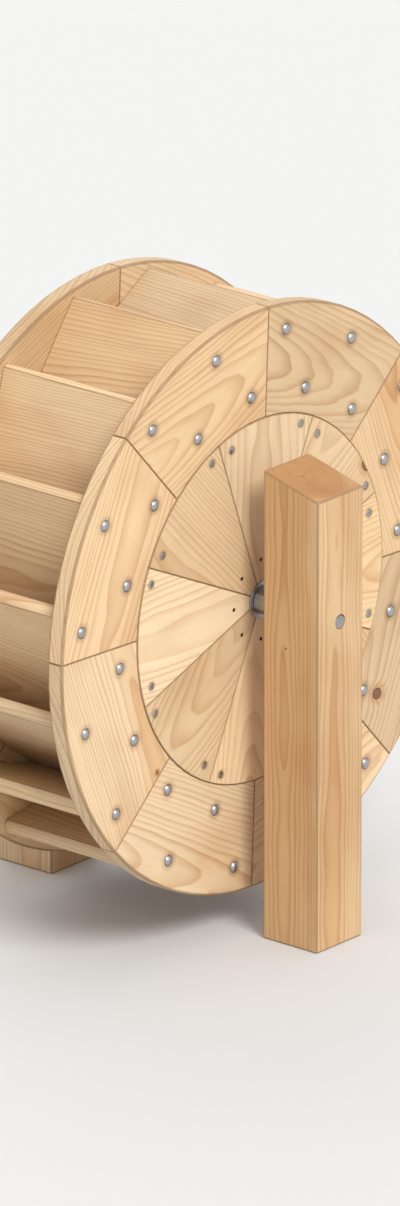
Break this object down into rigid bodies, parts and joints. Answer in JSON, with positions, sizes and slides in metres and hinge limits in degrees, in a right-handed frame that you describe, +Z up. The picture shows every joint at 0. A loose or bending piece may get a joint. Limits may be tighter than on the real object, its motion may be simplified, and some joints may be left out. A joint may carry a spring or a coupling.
{
  "type": "water wheel",
  "caption": "Wooden water wheel with slanted bucket boards between segmented round sides, turning on a steel axle held by square posts with sloping tops.",
  "frame": {"origin": "on the ground, midway between the posts and straight under the axle", "axes": "+Z up; Y along the axle, with the near side of the wheel (the one the drawing shows) facing -Y; +X across the wheel, to the right seen from the near side"},
  "size_m": [0.7688, 0.5298, 0.8184],
  "materials": {
    "post": "bare planed softwood",
    "rim": "bare planed softwood",
    "wedge": "bare planed softwood",
    "paddle": "bare planed softwood",
    "former": "bare softwood plywood",
    "axle_steel": "zinc-plated threaded rod",
    "fastener_steel": "zinc-plated"
  },
  "bodies": {
    "stand": {"near_post": "post", "far_post": "post"},
    "wheel": {"near_rim_1": "rim", "near_rim_2": "rim", "near_rim_3": "rim", "near_rim_4": "rim", "near_rim_5": "rim", "near_rim_6": "rim", "near_rim_7": "rim", "near_rim_8": "rim", "near_wedge_1": "wedge", "near_wedge_2": "wedge", "near_wedge_3": "wedge", "near_wedge_4": "wedge", "near_wedge_5": "wedge", "near_wedge_6": "wedge", "near_wedge_7": "wedge", "near_wedge_8": "wedge", "far_rim_1": "rim", "far_rim_2": "rim", "far_rim_3": "rim", "far_rim_4": "rim", "far_rim_5": "rim", "far_rim_6": "rim", "far_rim_7": "rim", "far_rim_8": "rim", "far_wedge_1": "wedge", "far_wedge_2": "wedge", "far_wedge_3": "wedge", "far_wedge_4": "wedge", "far_wedge_5": "wedge", "far_wedge_6": "wedge", "far_wedge_7": "wedge", "far_wedge_8": "wedge", "paddle_01": "paddle", "paddle_02": "paddle", "paddle_03": "paddle", "paddle_04": "paddle", "paddle_05": "paddle", "paddle_06": "paddle", "paddle_07": "paddle", "paddle_08": "paddle", "paddle_09": "paddle", "paddle_10": "paddle", "paddle_11": "paddle", "paddle_12": "paddle", "paddle_13": "paddle", "paddle_14": "paddle", "paddle_15": "paddle", "paddle_16": "paddle", "near_former": "former", "far_former": "former", "axle": "axle_steel", "near_washer": "fastener_steel", "near_nut": "fastener_steel", "far_washer": "fastener_steel", "far_nut": "fastener_steel"}
  },
  "joints": [
    {"name": "wheel", "type": "hinge", "parent": "stand", "child": "wheel", "pos_m": [0, 0, 0.434], "axis": [0, -1, 0], "continuous": true}
  ]
}
